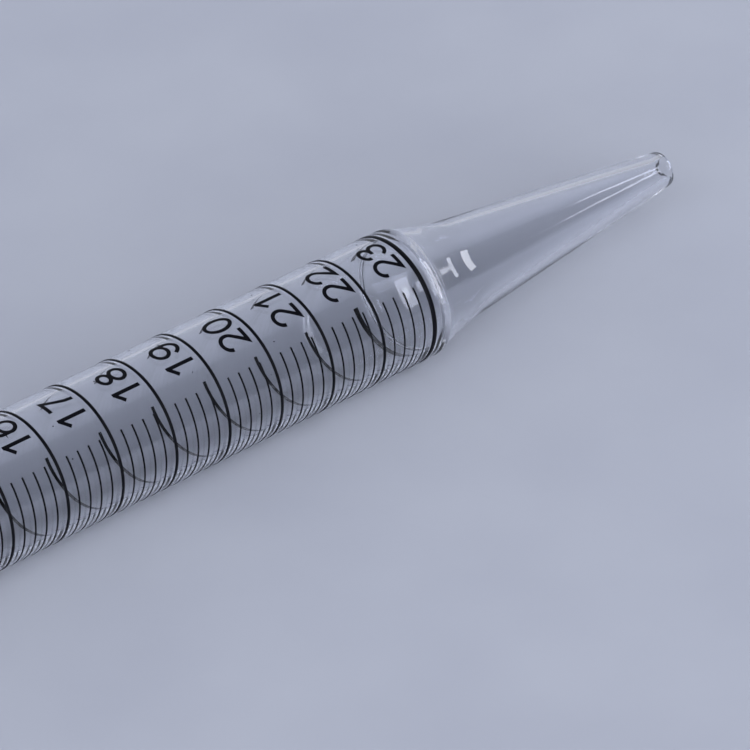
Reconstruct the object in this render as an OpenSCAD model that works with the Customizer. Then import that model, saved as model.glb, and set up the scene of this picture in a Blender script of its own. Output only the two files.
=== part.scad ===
// Serological pipette of clear polystyrene, 25 mL, lying on its side.
// The axis runs along X with the tip towards +X. +Z is up and z = 0 is the surface it lies on.
// The origin is under the middle of its length.

/* [Tube] */
// Outside diameter of the extruded tube
tube_od = 15; // [14.8:0.1:15.4]
// Wall thickness of the extruded tube
tube_wall = 0.86; // [0.7:0.02:0.96]
// Length of the whole pipette, from mouth to tip
overall_len = 345; // [340:1:360]

/* [Tip] */
// Length of the moulded tip, from the weld to the orifice
tip_len = 39.7; // [36:0.1:42]
// Length of the full-width land at the weld
land_len = 0.9; // [0.8:0.1:2]
// Length of the shoulder between the land and the long cone
shoulder_len = 5.1; // [4.5:0.1:7]
// Outside diameter at the start of the long cone
cone_od = 11.8; // [11.4:0.1:12.4]
// Distance from the weld to the start of the cone inside the tip
core_start_len = 4.4; // [4:0.1:6]
// Inside diameter at the start of the cone inside the tip
core_d = 10.68; // [10.4:0.02:10.9]
// Outside diameter of the tip's end
tip_end_od = 4.2; // [3.8:0.1:4.6]
// Diameter of the orifice
orifice_d = 2.2; // [1.8:0.1:2.4]
// Length of the straight bore behind the orifice
orifice_land = 1.5; // [1:0.1:3]

/* [Mouthpiece] */
// Length of the moulded mouthpiece, from the weld to the mouth
mouth_len = 36; // [34:0.5:40]
// Outside diameter of the neck that the pipette controller grips
neck_od = 8; // [7.6:0.1:8.4]
// Inside diameter of the neck
neck_id = 5.6; // [5.2:0.1:5.8]
// Length of the neck
neck_len = 24; // [22:0.5:26]
// Length of the full-width collar at the weld
collar_len = 3; // [2:0.5:4]

/* [Filter plug] */
// Length of the fibre plug
plug_len = 18; // [14:0.5:20]
// Depth of the plug's outer face inside the mouth
plug_depth = 3; // [1:0.5:4]

/* [Scale] */
// Last numbered mark on the tube, in millilitres
last_mark = 23; // [20:1:23]
// Marks above zero, in millilitres
negative_marks = 5; // [0:1:6]
// Distance from the last mark to the tube's welded end
last_mark_gap = 1.5; // [1:0.1:4]
// Number of divisions in each millilitre
divisions = 5; // [2:1:5]
// Width of a printed ring
ring_w = 0.38; // [0.3:0.02:0.6]
// Width of the heavier last ring
last_ring_w = 0.6; // [0.4:0.02:0.8]
// Width of a printed division line
line_w = 0.22; // [0.2:0.02:0.4]
// Width of the colour band that codes the capacity
band_w = 4.2; // [3:0.1:6]

/* [Hidden] */
$fn = 96;

tube_r = tube_od / 2;
bore_r = tube_r - tube_wall;
// One millilitre fills this much of the bore
ml_pitch = 1000 / (PI * bore_r * bore_r);

tip_end_x = overall_len / 2;
mouth_end_x = -overall_len / 2;
tip_weld_x = tip_end_x - tip_len;
mouth_weld_x = mouth_end_x + mouth_len;
last_mark_x = tip_weld_x - last_mark_gap;
zero_x = last_mark_x - last_mark * ml_pitch;
// The colour band stands clear of the scale, towards the mouth
band_x = zero_x - (negative_marks + 3.5) * ml_pitch;

// Edge breaks: at the welds, at the tip's end and at the mouth
weld_chamfer = 0.12;
edge_chamfer = 0.15;
mouth_chamfer = 0.5;
// Depth of the weld's groove at the tip, and the length over which the tip rises out of it
land_dip = 0.2;
land_rise_len = 0.56;
// Blend radii on the outside of the tip, on its inside, and at the neck
land_blend_r = 1;
cone_blend_r = 16;
core_blend_r = 14;
neck_blend_r = 3;

// Thickness of the printed ink, which the pipette lies on
ink = 0.04;
axis_z = tube_r + ink;
// The print runs by angle around the axis, from the top towards -Y.
// A ring stops short of a full turn, and the division lines start on one straight edge.
ring_start = -70;
ring_end = 236;
line_start = 47;
line_end = 152;

// Places children on the pipette's axis at x, with their own Z turned along +X
module on_axis(x) {
    translate([x, 0, axis_z]) rotate([0, 90, 0]) children();
}

// Points of an arc that rounds the corner b of the path a-b-c with radius r
function rounded(a, b, c, r, steps = 4) =
    let (u = (a - b) / norm(a - b), v = (c - b) / norm(c - b),
         half = acos(u * v) / 2,
         centre = b + (u + v) / norm(u + v) * r / sin(half),
         p = b + u * r / tan(half) - centre,
         q = b + v * r / tan(half) - centre,
         turn = sign(cross(p, q)) * (180 - 2 * half))
    [for (i = [0:steps]) let (t = turn * i / steps)
        centre + [p.x * cos(t) - p.y * sin(t), p.x * sin(t) + p.y * cos(t)]];

// A strip of ink around the tube from angle a0 to a1
module ink_arc(x, width, a0, a1) {
    on_axis(x - width / 2) rotate([0, 0, 180 + a0]) rotate_extrude(angle = a1 - a0)
        translate([tube_r, 0]) square([ink, width]);
}

// Extruded tube with its two ends lightly broken
module tube() {
    length = tip_weld_x - mouth_weld_x;
    color("azure", 0.35) on_axis(mouth_weld_x) rotate_extrude() polygon([
        [bore_r, 0], [tube_r - weld_chamfer, 0], [tube_r, weld_chamfer],
        [tube_r, length - weld_chamfer], [tube_r - weld_chamfer, length], [bore_r, length]
    ]);
}

// Moulded tip, welded to the tube: a land, a shoulder, a long cone and a straight bore at the orifice
module tip() {
    end_r = tip_end_od / 2;
    cone_start = [cone_od / 2, land_len + shoulder_len];
    core_start = [core_d / 2, core_start_len];
    bore_end = [orifice_d / 2, tip_len - orifice_land];
    outside = concat(
        [[tube_r - land_dip, 0], [tube_r, land_rise_len]],
        rounded([tube_r, land_rise_len], [tube_r, land_len], cone_start, land_blend_r),
        rounded([tube_r, land_len], cone_start, [end_r, tip_len], cone_blend_r),
        [[end_r, tip_len - edge_chamfer], [end_r - edge_chamfer, tip_len]]
    );
    inside = concat(
        [[orifice_d / 2, tip_len], bore_end],
        rounded(bore_end, core_start, [bore_r, 0], core_blend_r),
        [[bore_r, 0]]
    );
    color("azure", 0.35) on_axis(tip_weld_x) rotate_extrude() polygon(concat(outside, inside));
}

// Moulded mouthpiece, welded to the tube: a collar, a shoulder and the neck
module mouthpiece() {
    neck_r = neck_od / 2;
    neck_bore_r = neck_id / 2;
    shoulder_end = mouth_len - neck_len;
    outside = concat(
        [[tube_r - weld_chamfer, 0], [tube_r, weld_chamfer]],
        rounded([tube_r, weld_chamfer], [tube_r, collar_len], [neck_r, shoulder_end], neck_blend_r),
        rounded([tube_r, collar_len], [neck_r, shoulder_end], [neck_r, mouth_len], neck_blend_r),
        [[neck_r, mouth_len - mouth_chamfer], [neck_r - mouth_chamfer, mouth_len]]
    );
    inside = concat(
        [[neck_bore_r, mouth_len]],
        rounded([neck_bore_r, mouth_len], [neck_bore_r, shoulder_end], [bore_r, collar_len], neck_blend_r),
        rounded([neck_bore_r, shoulder_end], [bore_r, collar_len], [bore_r, 0], neck_blend_r),
        [[bore_r, 0]]
    );
    color("azure", 0.35) translate([mouth_weld_x, 0, axis_z]) rotate([0, -90, 0])
        rotate_extrude() polygon(concat(outside, inside));
}

// Fibre plug pressed into the neck
module filter_plug() {
    color("white") on_axis(mouth_end_x + plug_depth) cylinder(r = neck_id / 2, h = plug_len);
}

// A ring for each whole millilitre, up to the one before the last
module scale_rings() {
    color("black") for (ml = [-negative_marks:last_mark - 1])
        ink_arc(zero_x + ml * ml_pitch, ring_w, ring_start, ring_end);
}

// The last ring is printed heavier
module last_ring() {
    color("black") ink_arc(last_mark_x, last_ring_w, ring_start, ring_end);
}

// Division lines between the rings
module scale_lines() {
    color("black") for (ml = [-negative_marks:last_mark - 1], part = [1:divisions - 1])
        ink_arc(zero_x + (ml + part / divisions) * ml_pitch, line_w, line_start, line_end);
}

// Band of coloured ink all the way round
module colour_band() {
    color("red") on_axis(band_x - band_w / 2) difference() {
        cylinder(r = tube_r + ink, h = band_w);
        translate([0, 0, -1]) cylinder(r = tube_r, h = band_w + 2);
    }
}

tube();
tip();
mouthpiece();
filter_plug();
scale_rings();
last_ring();
scale_lines();
colour_band();
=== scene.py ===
"""Looks for a clear 25 mL serological pipette lying on a pale surface, built round its CAD frame."""

import math
import random

import bmesh
import bpy
from mathutils import Matrix, Vector


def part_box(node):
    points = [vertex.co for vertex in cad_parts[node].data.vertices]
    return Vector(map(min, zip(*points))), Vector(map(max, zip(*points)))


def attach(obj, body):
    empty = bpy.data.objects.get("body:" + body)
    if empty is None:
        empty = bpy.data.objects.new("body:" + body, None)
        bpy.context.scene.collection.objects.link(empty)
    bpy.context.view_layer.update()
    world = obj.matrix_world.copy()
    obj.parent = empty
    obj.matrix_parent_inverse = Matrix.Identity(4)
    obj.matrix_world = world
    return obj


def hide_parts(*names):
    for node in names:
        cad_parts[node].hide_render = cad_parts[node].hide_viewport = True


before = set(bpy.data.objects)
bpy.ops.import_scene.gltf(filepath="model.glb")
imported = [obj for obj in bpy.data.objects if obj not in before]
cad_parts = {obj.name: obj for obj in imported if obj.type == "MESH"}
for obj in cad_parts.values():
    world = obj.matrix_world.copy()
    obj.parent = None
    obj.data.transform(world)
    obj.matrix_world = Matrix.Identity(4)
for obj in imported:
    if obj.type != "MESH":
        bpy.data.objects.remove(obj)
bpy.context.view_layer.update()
MM = 0.001

# Tube: extruded clear polystyrene, 15 mm across with a wall under a millimetre, cut square at
# both ends and heat welded to the tip and the mouthpiece. The weld rounds the ends and squeezes a
# little plastic inwards, and drawing it through the die leaves faint straight lines along it.
TUBE_R = 7.5 * MM
BORE_R = 6.64 * MM
WELD_ROUND = 0.14 * MM
WELD_SQUEEZE = 0.06 * MM
WELD_REACH = 0.43 * MM
WELD_GAP = 0.004 * MM
WELD_BLEND = 5.9 * MM
tube_low, tube_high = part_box("tube")
axis_z = (tube_low.z + tube_high.z) / 2


def linear(code):
    """Turns an sRGB hex colour to linear RGBA."""
    parts = [int(code[i : i + 2], 16) / 255 for i in (1, 3, 5)]
    return (*[c / 12.92 if c <= 0.04045 else ((c + 0.055) / 1.055) ** 2.4 for c in parts], 1)


def add_node(tree, kind, inputs=None, **settings):
    """Adds a node. An input given as a socket is linked, and one given as a value is set."""
    node = tree.nodes.new(kind)
    for name, value in settings.items():
        setattr(node, name, value)
    for key, value in (inputs or {}).items():
        if isinstance(value, bpy.types.NodeSocket):
            tree.links.new(value, node.inputs[key])
        else:
            node.inputs[key].default_value = value
    return node


def new_material(name, **shader):
    """A material with one Principled shader, its tree, and that shader."""
    material = bpy.data.materials.new(name)
    material.use_nodes = True
    tree = material.node_tree
    principled = tree.nodes["Principled BSDF"]
    for key, value in shader.items():
        principled.inputs[key.replace("_", " ")].default_value = value
    return material, tree, principled


def rounded_loop(corners, steps=6, support=0.25 * MM):
    """Points of a closed outline from (x, r, radius) corners, with each corner turned into an arc.
    Long straight runs get a support point near each end, so smooth shading stays flat on them."""
    outline = []
    for i, (x, r, radius) in enumerate(corners):
        here = Vector((x, r))
        before = Vector(corners[i - 1][:2]) - here
        after = Vector(corners[(i + 1) % len(corners)][:2]) - here
        if radius == 0:
            outline.append([here])
            continue
        half = before.angle(after) / 2
        centre = here + (before.normalized() + after.normalized()).normalized() * radius / math.sin(half)
        start = here + before.normalized() * radius / math.tan(half) - centre
        end = here + after.normalized() * radius / math.tan(half) - centre
        turn = start.angle_signed(end)
        arc = []
        for k in range(steps + 1):
            t = -turn * k / steps
            arc.append(centre + Vector((start.x * math.cos(t) - start.y * math.sin(t),
                                        start.x * math.sin(t) + start.y * math.cos(t))))
        outline.append(arc)
    points = []
    for i, arc in enumerate(outline):
        points += arc
        start, end = arc[-1], outline[(i + 1) % len(outline)][0]
        run = end - start
        if run.length > 4 * support:
            points += [start + run.normalized() * support, end - run.normalized() * support]
    return points


def lathe(name, outline, turns=240):
    """A closed surface of revolution round the pipette's axis."""
    mesh_maker = bmesh.new()
    rings = []
    for i in range(turns):
        angle = math.tau * i / turns
        rings.append([mesh_maker.verts.new((x, r * math.sin(angle), axis_z + r * math.cos(angle)))
                      for x, r in outline])
    for here, there in zip(rings, rings[1:] + rings[:1]):
        for j in range(len(outline)):
            k = (j + 1) % len(outline)
            mesh_maker.faces.new((here[j], here[k], there[k], there[j]))
    return finish_mesh(name, mesh_maker)


def finish_mesh(name, mesh_maker):
    """Turns bmesh work into a smooth-shaded object with its normals outwards."""
    bmesh.ops.recalc_face_normals(mesh_maker, faces=mesh_maker.faces)
    mesh = bpy.data.meshes.new(name)
    mesh_maker.to_mesh(mesh)
    mesh_maker.free()
    mesh.shade_smooth()
    mesh.set_sharp_from_angle(angle=math.radians(40))
    piece = bpy.data.objects.new(name, mesh)
    bpy.context.scene.collection.objects.link(piece)
    return piece


def hand_in(piece, material, slot, *nodes):
    """Gives a piece its material, sets it on the root body and hides the CAD nodes it stands for."""
    piece.data.materials.clear()
    piece.data.materials.append(material)
    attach(piece, "root")
    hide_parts(*nodes)


def polystyrene(name, roughness, grain, depth):
    """General-purpose polystyrene: brilliant and clear, high index, with a very faint cool cast.
    grain is the size of its surface waves in metres along X, Y and Z, and depth their height."""
    material, tree, shader = new_material(
        name, Base_Color=linear("#fbfcff"), Roughness=roughness, IOR=1.59, Transmission_Weight=1.0)
    place = add_node(tree, "ShaderNodeTexCoord")
    spread = add_node(tree, "ShaderNodeMapping", {
        "Vector": place.outputs["Object"], "Scale": [1 / g for g in grain]})
    waves = add_node(tree, "ShaderNodeTexNoise", {
        "Vector": spread.outputs["Vector"], "Scale": 1.0, "Detail": 2.0, "Roughness": 0.4})
    bump = add_node(tree, "ShaderNodeBump", {
        "Height": waves.outputs["Fac"], "Strength": 1.0, "Distance": depth})
    tree.links.new(bump.outputs["Normal"], shader.inputs["Normal"])
    return material


tube_start = tube_low.x + WELD_GAP
tube_end = tube_high.x - WELD_GAP
tube = lathe("tube_wall", rounded_loop([
    (tube_start, BORE_R, WELD_ROUND / 2), (tube_start, TUBE_R, WELD_ROUND),
    (tube_end, TUBE_R, WELD_ROUND / 2), (tube_end, BORE_R - WELD_SQUEEZE, 0),
    (tube_high.x - WELD_REACH, BORE_R, WELD_BLEND)], steps=8))
extruded = polystyrene("Extruded clear polystyrene", 0.015, (60 * MM, 1.6 * MM, 1.6 * MM), 0.002 * MM)
hand_in(tube, extruded, "tube", "tube")

# Tip: injection-moulded polystyrene. A shoulder narrows from the tube to a long cone, whose end
# is rounded about a straight bore. The wall is about a millimetre, thinnest where the cone starts.
TIP_LAND = 0.9 * MM
LAND_DIP = 0.2 * MM
LAND_RISE = 0.56 * MM
TIP_SHOULDER = 5.1 * MM
CONE_R = 5.9 * MM
CORE_START = 4.4 * MM
CORE_R = 5.34 * MM
TIP_END_R = 2.1 * MM
ORIFICE_R = 1.1 * MM
ORIFICE_LAND = 1.5 * MM
RIM_BREAK = 0.04 * MM
RISE_BLEND = 0.6 * MM
LAND_BLEND = 1.0 * MM
CONE_BLEND = 16 * MM
TIP_END_BLEND = 0.45 * MM
ORIFICE_BREAK = 0.3 * MM
ORIFICE_BLEND = 3 * MM
CORE_BLEND = 14 * MM
INNER_WELD_BLEND = 5.5 * MM
tip_low, tip_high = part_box("tip")
land_x = tip_low.x + TIP_LAND
cone_x = land_x + TIP_SHOULDER
tip = lathe("cone_tip", rounded_loop([
    (tip_low.x, BORE_R - WELD_SQUEEZE, 0), (tip_low.x, TUBE_R - LAND_DIP, RIM_BREAK),
    (tip_low.x + LAND_RISE, TUBE_R, RISE_BLEND), (land_x, TUBE_R, LAND_BLEND),
    (cone_x, CONE_R, CONE_BLEND), (tip_high.x, TIP_END_R, TIP_END_BLEND),
    (tip_high.x, ORIFICE_R, ORIFICE_BREAK), (tip_high.x - ORIFICE_LAND, ORIFICE_R, ORIFICE_BLEND),
    (tip_low.x + CORE_START, CORE_R, CORE_BLEND),
    (tip_low.x + WELD_REACH, BORE_R - 3 * WELD_SQUEEZE, INNER_WELD_BLEND)], steps=10))
moulded = polystyrene("Moulded clear polystyrene", 0.02, (9 * MM, 3 * MM, 3 * MM), 0.003 * MM)
hand_in(tip, moulded, "tip", "tip")

# Mouthpiece: injection-moulded polystyrene, the mirror of the tip at the other end. A collar and
# a shoulder lead to the 8 mm neck that a pipette controller grips.
MOUTH_COLLAR = 3 * MM
NECK_R = 4 * MM
NECK_BORE_R = 2.8 * MM
NECK_LENGTH = 24 * MM
NECK_BLEND = 3 * MM
NECK_END_BLEND = 0.5 * MM
NECK_BORE_BREAK = 0.3 * MM
mouth_low, mouth_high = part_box("mouthpiece")
neck_x = mouth_low.x + NECK_LENGTH
collar_x = mouth_high.x - MOUTH_COLLAR
mouthpiece = lathe("mouthpiece_neck", rounded_loop([
    (mouth_high.x, BORE_R, WELD_ROUND / 2), (mouth_high.x, TUBE_R, WELD_ROUND),
    (collar_x, TUBE_R, NECK_BLEND), (neck_x, NECK_R, NECK_BLEND),
    (mouth_low.x, NECK_R, NECK_END_BLEND), (mouth_low.x, NECK_BORE_R, NECK_BORE_BREAK),
    (neck_x, NECK_BORE_R, NECK_BLEND), (collar_x, BORE_R, NECK_BLEND)], steps=8))
hand_in(mouthpiece, moulded, "mouthpiece", "mouthpiece")

# Printed scale: black ink screen-printed on the outside. A ring marks each millilitre and stops
# short of a full turn, the last one is heavier, and four lines divide each millilitre in fifths.
# The ink is fused to the plastic, so its underside lies a hair inside the tube's surface.
INK_TOP = TUBE_R + 0.03 * MM
INK_UNDER = TUBE_R - 0.006 * MM
ML = 1e-6 / (math.pi * BORE_R**2)
LAST_MARK = 23
FIRST_MARK = -5
ring_low, ring_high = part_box("last_ring")
last_mark_x = (ring_low.x + ring_high.x) / 2
zero_x = last_mark_x - LAST_MARK * ML
RING_START, RING_END = math.radians(-70), math.radians(236.2)
LINE_START, LINE_END = math.radians(47.2), math.radians(152)
RING_WIDTH = 0.38 * MM
LAST_RING_WIDTH = 0.6 * MM
LINE_WIDTH = 0.21 * MM
RING_FACETS = 150
LINE_FACETS = 56
LINES_PER_ML = 5
LEAVE_NONE_OUT = 1000


def arc_printer():
    """A node tree that prints arcs of ink at even steps along the tube, leaving out each nth."""
    tree = bpy.data.node_groups.new("print_arcs", "GeometryNodeTree")
    tree.interface.new_socket("Geometry", in_out="OUTPUT", socket_type="NodeSocketGeometry")
    inputs = {}
    for name, kind in (("Count", "Int"), ("First", "Float"), ("Step", "Float"), ("Width", "Float"),
                       ("Start", "Float"), ("Sweep", "Float"), ("Facets", "Int"),
                       ("Leave out", "Int"), ("Ink", "Material")):
        inputs[name] = tree.interface.new_socket(name, in_out="INPUT", socket_type="NodeSocket" + kind)
    given = add_node(tree, "NodeGroupInput").outputs
    first = add_node(tree, "ShaderNodeCombineXYZ", {"X": given["First"], "Z": axis_z})
    step = add_node(tree, "ShaderNodeCombineXYZ", {"X": given["Step"]})
    marks = add_node(tree, "GeometryNodeMeshLine", {
        "Count": given["Count"], "Start Location": first.outputs[0], "Offset": step.outputs[0]})
    index = add_node(tree, "GeometryNodeInputIndex")
    number = add_node(tree, "ShaderNodeMath", {0: index.outputs[0], 1: 1.0}, operation="ADD")
    place = add_node(tree, "ShaderNodeMath", {0: number.outputs[0], 1: given["Leave out"]},
                     operation="MODULO")
    whole = add_node(tree, "ShaderNodeMath", {0: place.outputs[0], 1: 0.5}, operation="LESS_THAN")
    wanted = add_node(tree, "GeometryNodeDeleteGeometry", {
        "Geometry": marks.outputs[0], "Selection": whole.outputs[0]})
    arc = add_node(tree, "GeometryNodeCurveArc", {
        "Resolution": given["Facets"], "Radius": (INK_TOP + INK_UNDER) / 2,
        "Start Angle": given["Start"], "Sweep Angle": given["Sweep"]})
    section = add_node(tree, "GeometryNodeCurvePrimitiveQuadrilateral", {
        "Width": INK_TOP - INK_UNDER, "Height": given["Width"]})
    strip = add_node(tree, "GeometryNodeCurveToMesh", {
        "Curve": arc.outputs[0], "Profile Curve": section.outputs[0], "Fill Caps": True})
    turned = add_node(tree, "GeometryNodeTransform", {
        "Geometry": strip.outputs[0], "Rotation": (0, -math.pi / 2, math.pi)})
    placed = add_node(tree, "GeometryNodeInstanceOnPoints", {
        "Points": wanted.outputs[0], "Instance": turned.outputs[0]})
    solid = add_node(tree, "GeometryNodeRealizeInstances", {"Geometry": placed.outputs[0]})
    inked = add_node(tree, "GeometryNodeSetMaterial", {
        "Geometry": solid.outputs[0], "Material": given["Ink"]})
    add_node(tree, "NodeGroupOutput", {0: inked.outputs[0]})
    return tree, inputs


def print_arcs(name, material, **values):
    """Runs the arc printer with these values and returns its plain mesh as an object."""
    piece = bpy.data.objects.new(name, bpy.data.meshes.new(name))
    bpy.context.scene.collection.objects.link(piece)
    modifier = piece.modifiers.new("print", "NODES")
    modifier.node_group = ARC_TREE
    for key, value in {**values, "Ink": material}.items():
        modifier[ARC_INPUTS[key.replace("_", " ")].identifier] = value
    bpy.context.view_layer.update()
    shown = piece.evaluated_get(bpy.context.evaluated_depsgraph_get())
    printed = bpy.data.meshes.new_from_object(shown)
    piece.modifiers.clear()
    piece.data = printed
    return piece


def printing_ink(name, colour):
    """Solvent ink, screen printed: dense and nearly matt, with a faint grain from the mesh."""
    material, tree, shader = new_material(name, Base_Color=linear(colour), Roughness=0.5,
                                          Specular_IOR_Level=0.1)
    place = add_node(tree, "ShaderNodeTexCoord")
    grain = add_node(tree, "ShaderNodeTexNoise", {
        "Vector": place.outputs["Object"], "Scale": 1 / (0.12 * MM), "Detail": 2.0})
    tone = add_node(tree, "ShaderNodeMapRange", {
        "Value": grain.outputs["Fac"], "To Min": 0.36, "To Max": 0.62})
    bump = add_node(tree, "ShaderNodeBump", {
        "Height": grain.outputs["Fac"], "Strength": 0.6, "Distance": 0.004 * MM})
    tree.links.new(tone.outputs["Result"], shader.inputs["Roughness"])
    tree.links.new(bump.outputs["Normal"], shader.inputs["Normal"])
    return material


ARC_TREE, ARC_INPUTS = arc_printer()
black = printing_ink("Black screen-printing ink", "#030308")
ring_sweep = RING_END - RING_START
rings = print_arcs("millilitre_rings", black, Count=LAST_MARK - FIRST_MARK,
                   First=zero_x + FIRST_MARK * ML, Step=ML, Width=RING_WIDTH, Start=RING_START,
                   Sweep=ring_sweep, Facets=RING_FACETS, Leave_out=LEAVE_NONE_OUT)
hand_in(rings, black, "ink", "scale_rings")
last_ring = print_arcs("last_heavy_ring", black, Count=1, First=last_mark_x, Step=ML,
                       Width=LAST_RING_WIDTH, Start=RING_START, Sweep=ring_sweep,
                       Facets=RING_FACETS, Leave_out=LEAVE_NONE_OUT)
hand_in(last_ring, black, "ink", "last_ring")
lines = print_arcs("fifth_lines", black, Count=LINES_PER_ML * (LAST_MARK - FIRST_MARK),
                   First=zero_x + (FIRST_MARK + 1 / LINES_PER_ML) * ML, Step=ML / LINES_PER_ML,
                   Width=LINE_WIDTH, Start=LINE_START, Sweep=LINE_END - LINE_START,
                   Facets=LINE_FACETS, Leave_out=LINES_PER_ML)
hand_in(lines, black, "ink", "scale_lines")

# Numerals: printed with the rings, each number between its ring and the mouth, read from the side
# with the tip to the right. They are plain even strokes with square ends. The screen also leaves
# small stray specks of ink, scattered at random.
STROKE = 0.45 * MM
DIGIT_STEP = 2.81 * MM
DIGIT_GAP = 0.84 * MM
DIGIT_ANGLE = math.radians(30.8)
SPECKS = 70
SPECK_SIDES = 8


def bend(cx, cy, rx, ry, start, end, steps=20):
    """Points of an elliptical arc, in the unit of the digits, with angles in degrees."""
    angles = [math.radians(start + (end - start) * i / steps) for i in range(steps + 1)]
    return [(cx + rx * math.cos(angle), cy + ry * math.sin(angle)) for angle in angles]


# Centre lines of the strokes in millimetres, from the lower left corner of each digit. A loop
# starts and ends at the same point.
DIGITS = {
    "0": [bend(1.2, 1.78, 0.98, 1.56, 90, 450, 40)],
    "1": [[(1.5, 0), (1.5, 3.56)], [(0.42, 2.5), (1.5, 3.38)]],
    "2": [bend(1.2, 2.35, 0.975, 0.985, 176, -42) + [(0.6, 0.225), (2.4, 0.225)]],
    "3": [bend(1.14, 2.62, 0.88, 0.715, 192, -90) + [(0.84, 1.9)],
          [(0.84, 1.9)] + bend(1.2, 1.06, 0.975, 0.835, 90, -168)],
    "4": [[(1.72, 0), (1.72, 3.56)], [(1.72, 3.3), (0.45, 1.0), (2.4, 1.0)]],
    "5": [[(2.15, 3.335), (0.62, 3.335), (0.45, 1.9)] + bend(1.19, 1.22, 0.98, 0.995, 128, -160)],
    "6": [bend(1.2, 1.17, 0.985, 0.94, 90, 450, 32),
          [(0.225, 1.17), (0.225, 2.11)] + bend(1.22, 2.11, 0.995, 1.225, 180, 25)],
    "7": [[(0.1, 3.335), (1.95, 3.335), (1.3, 1.9), (0.95, 0.9), (0.85, 0)]],
    "8": [bend(1.2, 2.665, 0.81, 0.67, 90, 450, 32), bend(1.2, 0.985, 0.955, 0.79, 90, 450, 32)],
    "9": [bend(1.2, 2.39, 0.985, 0.94, 90, 450, 32),
          [(2.175, 2.39), (2.175, 1.45)] + bend(1.18, 1.45, 0.995, 1.225, 0, -155)],
    "-": [[(0.5, 1.78), (1.9, 1.78)]],
}


def closely(points, step=0.12):
    """The same line with points no further apart than step, so that it can bend round the tube."""
    dense = [Vector(points[0])]
    for a, b in zip(points, points[1:]):
        count = max(1, math.ceil((Vector(b) - Vector(a)).length / step))
        dense += [Vector(a).lerp(Vector(b), (i + 1) / count) for i in range(count)]
    return dense


def edges_of(points, closed):
    """The two edge lines of a stroke along points, mitred at its corners."""
    left, right = [], []
    last = len(points) - 1
    for i, here in enumerate(points):
        before = points[i - 1] if i else (points[-2] if closed else None)
        after = points[i + 1] if i < last else (points[1] if closed else None)
        ahead = (after - here).normalized() if after else (here - before).normalized()
        behind = (here - before).normalized() if before else ahead
        across = Vector((-(ahead + behind).y, (ahead + behind).x)).normalized()
        reach = STROKE / MM / 2 / max(0.33, across.dot(Vector((-ahead.y, ahead.x))))
        left.append(here + across * reach)
        right.append(here - across * reach)
    return left, right


def add_stroke(mesh_maker, points, base_x, angle):
    """Adds one stroke as a closed strip of ink that follows the tube's surface."""
    closed = points[0] == points[-1] or (Vector(points[0]) - Vector(points[-1])).length < 1e-6
    rails = []
    for rail in edges_of(closely(points), closed):
        for radius in (INK_UNDER, INK_TOP):
            row = []
            for u, v in rail:
                turn = angle - u * MM / TUBE_R
                row.append(mesh_maker.verts.new((base_x - v * MM, -radius * math.sin(turn),
                                                 axis_z + radius * math.cos(turn))))
            rails.append(row)
    loops = [rails[0], rails[1], rails[3], rails[2]]
    for j in range(4):
        one, two = loops[j], loops[(j + 1) % 4]
        for i in range(len(one) - 1):
            mesh_maker.faces.new((one[i], one[i + 1], two[i + 1], two[i]))
    if not closed:
        mesh_maker.faces.new([loop[0] for loop in loops])
        mesh_maker.faces.new([loop[-1] for loop in reversed(loops)])


number_maker = bmesh.new()
for ml in range(FIRST_MARK, LAST_MARK + 1):
    label = str(ml)
    ring_x = zero_x + ml * ML
    offset = (2 - len(label)) * DIGIT_STEP / 2
    for place, digit in enumerate(label):
        turn = DIGIT_ANGLE - (offset + place * DIGIT_STEP) / TUBE_R
        for stroke in DIGITS[digit]:
            add_stroke(number_maker, stroke, ring_x - DIGIT_GAP, turn)
rng = random.Random(25)
for _ in range(SPECKS):
    speck_x = rng.uniform(zero_x, last_mark_x)
    speck_turn = rng.uniform(RING_START, math.radians(90))
    speck_r = rng.uniform(0.04, 0.1) * MM
    rims = []
    for radius in (INK_UNDER, INK_TOP):
        rim = []
        for k in range(SPECK_SIDES):
            around = math.tau * k / SPECK_SIDES
            turn = speck_turn + speck_r / TUBE_R * math.sin(around)
            rim.append(number_maker.verts.new((speck_x + speck_r * math.cos(around),
                                               -radius * math.sin(turn),
                                               axis_z + radius * math.cos(turn))))
        rims.append(rim)
    number_maker.faces.new(rims[0])
    number_maker.faces.new(list(reversed(rims[1])))
    for k in range(SPECK_SIDES):
        after = (k + 1) % SPECK_SIDES
        number_maker.faces.new((rims[0][k], rims[1][k], rims[1][after], rims[0][after]))
bmesh.ops.remove_doubles(number_maker, verts=number_maker.verts, dist=1e-7)
numerals = finish_mesh("scale_numerals", number_maker)
hand_in(numerals, black, "ink")

# Colour band: a closed ring of red ink that codes the capacity, screen-printed on the outside of
# the tube and clear of the scale.
band_low, band_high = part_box("colour_band")
red = printing_ink("Red screen-printing ink", "#c4161c")
band = lathe("capacity_band", [Vector(p) for p in (
    (band_low.x, INK_UNDER), (band_low.x, INK_TOP), (band_high.x, INK_TOP), (band_high.x, INK_UNDER))])
hand_in(band, red, "band_ink", "colour_band")

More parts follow.
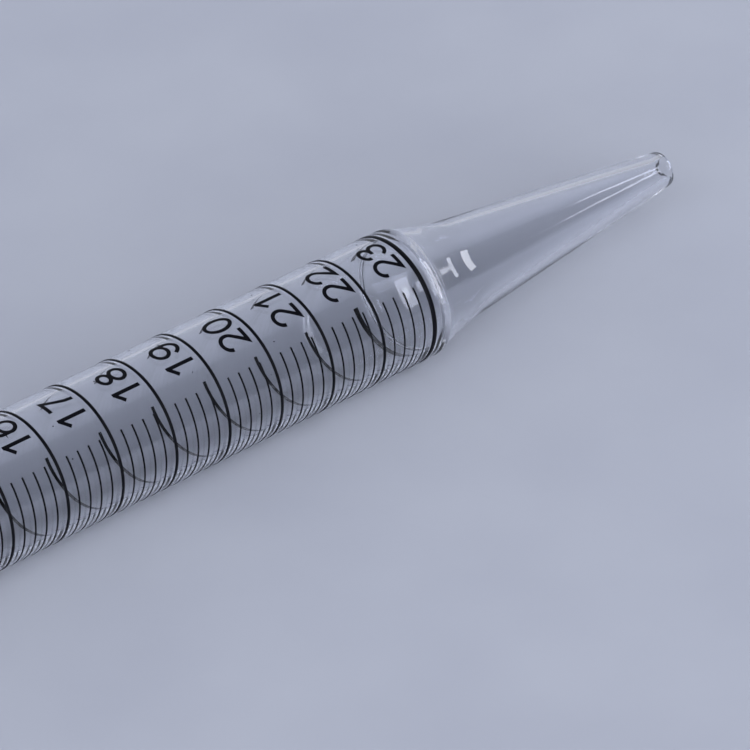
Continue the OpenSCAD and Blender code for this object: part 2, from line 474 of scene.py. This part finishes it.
# Filter plug: a wad of white polyester staple fibre pushed into the neck. It is soft and uneven:
# loose fibres a few hundredths of a millimetre thick curl over a denser core and press on the bore.
FIBRE_R = 0.024 * MM
FIBRE_LENGTH = 7 * MM
FIBRES = 640
CORE_SHARE = 0.9
FIBRE_JOINTS = 22
CURL_SIZE = 2.2 * MM
CURL_REACH = 5 * MM
plug_low, plug_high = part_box("filter_plug")
plug_r = NECK_BORE_R - 0.02 * MM
fibre, fibre_tree, fibre_shader = new_material(
    "Polyester staple fibre", Base_Color=linear("#f1f0ea"), Roughness=0.85, Sheen_Weight=0.4)
fibre_place = add_node(fibre_tree, "ShaderNodeTexCoord")
tangle = add_node(fibre_tree, "ShaderNodeTexNoise", {
    "Vector": fibre_place.outputs["Object"], "Scale": 1 / (0.5 * MM), "Detail": 5.0, "Distortion": 1.5})
fibre_tones = add_node(fibre_tree, "ShaderNodeValToRGB", {"Fac": tangle.outputs["Fac"]})
fibre_tones.color_ramp.elements[0].color = linear("#d5d3cb")
fibre_tones.color_ramp.elements[1].color = linear("#faf9f6")
fluff = add_node(fibre_tree, "ShaderNodeBump", {
    "Height": tangle.outputs["Fac"], "Strength": 0.9, "Distance": 0.15 * MM})
fibre_tree.links.new(fibre_tones.outputs["Color"], fibre_shader.inputs["Base Color"])
fibre_tree.links.new(fluff.outputs["Normal"], fibre_shader.inputs["Normal"])


def fibre_wad():
    """A node tree that fills the plug's cylinder with curled fibres round a dense core."""
    tree = bpy.data.node_groups.new("fibre_wad", "GeometryNodeTree")
    tree.interface.new_socket("Geometry", in_out="OUTPUT", socket_type="NodeSocketGeometry")
    core = tree.interface.new_socket("Core", in_out="INPUT", socket_type="NodeSocketObject")
    stuff = tree.interface.new_socket("Fibre", in_out="INPUT", socket_type="NodeSocketMaterial")
    given = add_node(tree, "NodeGroupInput").outputs
    reach = FIBRE_LENGTH / 3
    spot = add_node(tree, "FunctionNodeRandomValue", {
        0: (plug_low.x + reach, -plug_r, axis_z - plug_r),
        1: (plug_high.x - reach, plug_r, axis_z + plug_r), "Seed": 4}, data_type="FLOAT_VECTOR")
    roots = add_node(tree, "GeometryNodePoints", {"Count": FIBRES, "Position": spot.outputs[0]})
    tilt = add_node(tree, "FunctionNodeRandomValue", {
        0: (-3.1, -0.9, -0.9), 1: (3.1, 0.9, 0.9), "Seed": 9}, data_type="FLOAT_VECTOR")
    thread = add_node(tree, "GeometryNodeCurvePrimitiveLine", {
        "Start": (-FIBRE_LENGTH / 2, 0, 0), "End": (FIBRE_LENGTH / 2, 0, 0)})
    jointed = add_node(tree, "GeometryNodeResampleCurve", {
        "Curve": thread.outputs[0], "Count": FIBRE_JOINTS})
    laid = add_node(tree, "GeometryNodeInstanceOnPoints", {
        "Points": roots.outputs[0], "Instance": jointed.outputs[0], "Rotation": tilt.outputs[0]})
    threads = add_node(tree, "GeometryNodeRealizeInstances", {"Geometry": laid.outputs[0]})
    here = add_node(tree, "GeometryNodeInputPosition").outputs[0]
    curl = add_node(tree, "ShaderNodeTexNoise", {
        "Vector": here, "Scale": 1 / CURL_SIZE, "Detail": 2.0})
    middle = add_node(tree, "ShaderNodeVectorMath", {
        0: curl.outputs["Color"], 1: (0.5, 0.5, 0.5)}, operation="SUBTRACT")
    drift = add_node(tree, "ShaderNodeVectorMath", {0: middle.outputs[0], "Scale": CURL_REACH},
                     operation="SCALE")
    moved = add_node(tree, "ShaderNodeVectorMath", {0: here, 1: drift.outputs[0]}, operation="ADD")
    centred = add_node(tree, "ShaderNodeVectorMath", {
        0: moved.outputs[0], 1: (0, 0, axis_z)}, operation="SUBTRACT")
    along = add_node(tree, "ShaderNodeSeparateXYZ", {0: centred.outputs[0]})
    across = add_node(tree, "ShaderNodeVectorMath", {
        0: centred.outputs[0], 1: (0, 1, 1)}, operation="MULTIPLY")
    radius = add_node(tree, "ShaderNodeVectorMath", {0: across.outputs[0]}, operation="LENGTH")
    excess = add_node(tree, "ShaderNodeMath", {
        0: plug_r - 2 * FIBRE_R, 1: radius.outputs["Value"]}, operation="DIVIDE")
    limit = add_node(tree, "ShaderNodeMath", {0: excess.outputs[0], 1: 1.0}, operation="MINIMUM")
    pressed = add_node(tree, "ShaderNodeVectorMath", {
        0: across.outputs[0], "Scale": limit.outputs[0]}, operation="SCALE")
    kept = add_node(tree, "ShaderNodeClamp", {
        "Value": along.outputs["X"], "Min": plug_low.x + FIBRE_R, "Max": plug_high.x - FIBRE_R})
    base = add_node(tree, "ShaderNodeCombineXYZ", {"X": kept.outputs[0], "Z": axis_z})
    final = add_node(tree, "ShaderNodeVectorMath", {
        0: pressed.outputs[0], 1: base.outputs[0]}, operation="ADD")
    set_threads = add_node(tree, "GeometryNodeSetPosition", {
        "Geometry": threads.outputs[0], "Position": final.outputs[0]})
    section = add_node(tree, "GeometryNodeCurvePrimitiveCircle", {"Resolution": 3, "Radius": FIBRE_R})
    strands = add_node(tree, "GeometryNodeCurveToMesh", {
        "Curve": set_threads.outputs[0], "Profile Curve": section.outputs[0], "Fill Caps": True})
    body = add_node(tree, "GeometryNodeObjectInfo", {"Object": given["Core"]})
    both = add_node(tree, "GeometryNodeJoinGeometry")
    tree.links.new(strands.outputs[0], both.inputs[0])
    tree.links.new(body.outputs["Geometry"], both.inputs[0])
    solid = add_node(tree, "GeometryNodeRealizeInstances", {"Geometry": both.outputs[0]})
    coated = add_node(tree, "GeometryNodeSetMaterial", {
        "Geometry": solid.outputs[0], "Material": given["Fibre"]})
    add_node(tree, "NodeGroupOutput", {0: coated.outputs[0]})
    return tree, core, stuff


core_low_x, core_high_x = plug_low.x + 0.5 * MM, plug_high.x - 0.5 * MM
wad_core = lathe("wad_core", rounded_loop([
    (core_low_x, 0.02 * MM, 0), (core_low_x, CORE_SHARE * plug_r, 0.8 * MM),
    (core_high_x, CORE_SHARE * plug_r, 0.8 * MM), (core_high_x, 0.02 * MM, 0)]), turns=96)
wad_tree, core_input, fibre_input = fibre_wad()
plug = bpy.data.objects.new("fibre_plug", bpy.data.meshes.new("fibre_plug"))
bpy.context.scene.collection.objects.link(plug)
wad = plug.modifiers.new("wad", "NODES")
wad.node_group = wad_tree
wad[core_input.identifier] = wad_core
wad[fibre_input.identifier] = fibre
bpy.context.view_layer.update()
tangled = bpy.data.meshes.new_from_object(plug.evaluated_get(bpy.context.evaluated_depsgraph_get()))
plug.modifiers.clear()
plug.data = tangled
bpy.data.objects.remove(wad_core)
hand_in(plug, fibre, "plug", "filter_plug")

# Studio: a pale matt surface, low bright windows towards the mouth end, a moderate ceiling with an
# unlit side, two softboxes and a strip light.
floor_mesh = bpy.data.meshes.new("pale_surface")
FLOOR_HALF = 4.0
floor_mesh.from_pydata([(-FLOOR_HALF, -FLOOR_HALF, 0), (FLOOR_HALF, -FLOOR_HALF, 0),
                        (FLOOR_HALF, FLOOR_HALF, 0), (-FLOOR_HALF, FLOOR_HALF, 0)], [], [(0, 1, 2, 3)])
floor = bpy.data.objects.new("pale_surface", floor_mesh)
bpy.context.scene.collection.objects.link(floor)
laminate, laminate_tree, laminate_shader = new_material(
    "Pale matt laminate", Base_Color=linear("#bdc0c7"), Roughness=0.8, Specular_IOR_Level=0.2)
laminate_place = add_node(laminate_tree, "ShaderNodeTexCoord")
cloud = add_node(laminate_tree, "ShaderNodeTexNoise", {
    "Vector": laminate_place.outputs["Object"], "Scale": 1 / (22 * MM), "Detail": 3.0,
    "Roughness": 0.45})
tones = add_node(laminate_tree, "ShaderNodeValToRGB", {"Fac": cloud.outputs["Fac"]})
tones.color_ramp.elements[0].position = 0.3
tones.color_ramp.elements[0].color = linear("#b7bac2")
tones.color_ramp.elements[1].position = 0.7
tones.color_ramp.elements[1].color = linear("#bdc0c7")
laminate_tree.links.new(tones.outputs["Color"], laminate_shader.inputs["Base Color"])
floor.data.materials.append(laminate)

world = bpy.data.worlds.new("studio")
world.use_nodes = True
bpy.context.scene.world = world
sky_tree = world.node_tree
sky = sky_tree.nodes["Background"]
direction = add_node(sky_tree, "ShaderNodeTexCoord").outputs["Generated"]


def patch(azimuth, elevation, inside, outside):
    """A soft round patch of the sky: 1 within the inside angle of its centre, 0 past the outside."""
    azimuth, elevation = math.radians(azimuth), math.radians(elevation)
    centre = (math.cos(elevation) * math.cos(azimuth), math.cos(elevation) * math.sin(azimuth),
              math.sin(elevation))
    near = add_node(sky_tree, "ShaderNodeVectorMath", {0: direction, 1: centre}, operation="DOT_PRODUCT")
    fade = add_node(sky_tree, "ShaderNodeMapRange", {
        "Value": near.outputs["Value"], "From Min": math.cos(math.radians(outside)),
        "From Max": math.cos(math.radians(inside))}, interpolation_type="SMOOTHSTEP")
    return fade.outputs["Result"]


def mix(first, second, operation):
    """One arithmetic step on the sky's brightness."""
    return add_node(sky_tree, "ShaderNodeMath", {0: first, 1: second}, operation=operation).outputs[0]


height = add_node(sky_tree, "ShaderNodeSeparateXYZ", {0: direction}).outputs["Z"]
ceiling = mix(0.64, mix(height, 0.2, "MULTIPLY"), "SUBTRACT")
unlit_side = mix(patch(azimuth=-49, elevation=27, inside=33, outside=52), 0.85, "MULTIPLY")
room = mix(ceiling, mix(1.0, unlit_side, "SUBTRACT"), "MULTIPLY")
near_horizon = mix(math.e, mix(height, -7.0, "MULTIPLY"), "POWER")
far_patch = patch(azimuth=188, elevation=0, inside=62, outside=92)
far_window = mix(mix(far_patch, near_horizon, "MULTIPLY"), 6.3, "MULTIPLY")
near_window = mix(patch(azimuth=222, elevation=8, inside=36, outside=48), 2.9, "MULTIPLY")
brightness = mix(room, mix(far_window, near_window, "ADD"), "ADD")
sky.inputs["Color"].default_value = linear("#e6ebfb")
sky_tree.links.new(brightness, sky.inputs["Strength"])


def softbox(name, toward, distance, size, watts, target):
    """A rectangular area light that faces target. Its size is given round the tube and along it."""
    light = bpy.data.lights.new(name, "AREA")
    light.shape = "RECTANGLE"
    light.size, light.size_y = size
    light.energy = watts
    light.color = linear("#f4f6ff")[:3]
    lamp = bpy.data.objects.new(name, light)
    out = Vector(toward).normalized()
    side = Vector((1, 0, 0)).cross(out).normalized()
    lamp.location = target + out * distance
    lamp.rotation_mode = "QUATERNION"
    lamp.rotation_quaternion = Matrix((side, out.cross(side), out)).transposed().to_quaternion()
    bpy.context.scene.collection.objects.link(lamp)


scene_target = Vector((tip_low.x, 0, axis_z))
LIGHT_DISTANCE = 1.2
softbox("right_softbox", (0.846, -0.358, 0.396), LIGHT_DISTANCE, (0.66, 0.17), 2.3, scene_target)
softbox("front_softbox", (0.15, -0.737, 0.658), LIGHT_DISTANCE, (0.5, 0.18), 1.7, scene_target)
softbox("strip_light", (-0.123, -0.739, 0.657), LIGHT_DISTANCE, (1.5, 0.06), 1.8, scene_target)

# Camera: a long lens above the mouth end, looking down along the scale to the tip.
CAMERA_AZIMUTH, CAMERA_ELEVATION = math.radians(-41.20), math.radians(34.41)
CAMERA_DISTANCE = 563.8 * MM
AIM_BEFORE_TIP = 51.76 * MM
AIM_ASIDE = 9.73 * MM
LENS_LENGTH, SENSOR_WIDTH = 253.18, 36
aim = Vector((tip_high.x - AIM_BEFORE_TIP, -AIM_ASIDE, axis_z))
back = Vector((math.sin(CAMERA_AZIMUTH) * math.cos(CAMERA_ELEVATION),
               -math.cos(CAMERA_AZIMUTH) * math.cos(CAMERA_ELEVATION), math.sin(CAMERA_ELEVATION)))
lens = bpy.data.cameras.new("camera")
lens.lens, lens.sensor_width = LENS_LENGTH, SENSOR_WIDTH
lens.clip_start, lens.clip_end = 0.01, 50
camera = bpy.data.objects.new("camera", lens)
camera.location = aim + back * CAMERA_DISTANCE
camera.rotation_mode = "QUATERNION"
camera.rotation_quaternion = (-back).to_track_quat("-Z", "Y")
bpy.context.scene.collection.objects.link(camera)
bpy.context.scene.camera = camera
bpy.context.scene.view_settings.view_transform = "Standard"
bpy.context.scene.cycles.max_bounces = 24
bpy.context.scene.cycles.transmission_bounces = 24
bpy.context.scene.cycles.glossy_bounces = 12
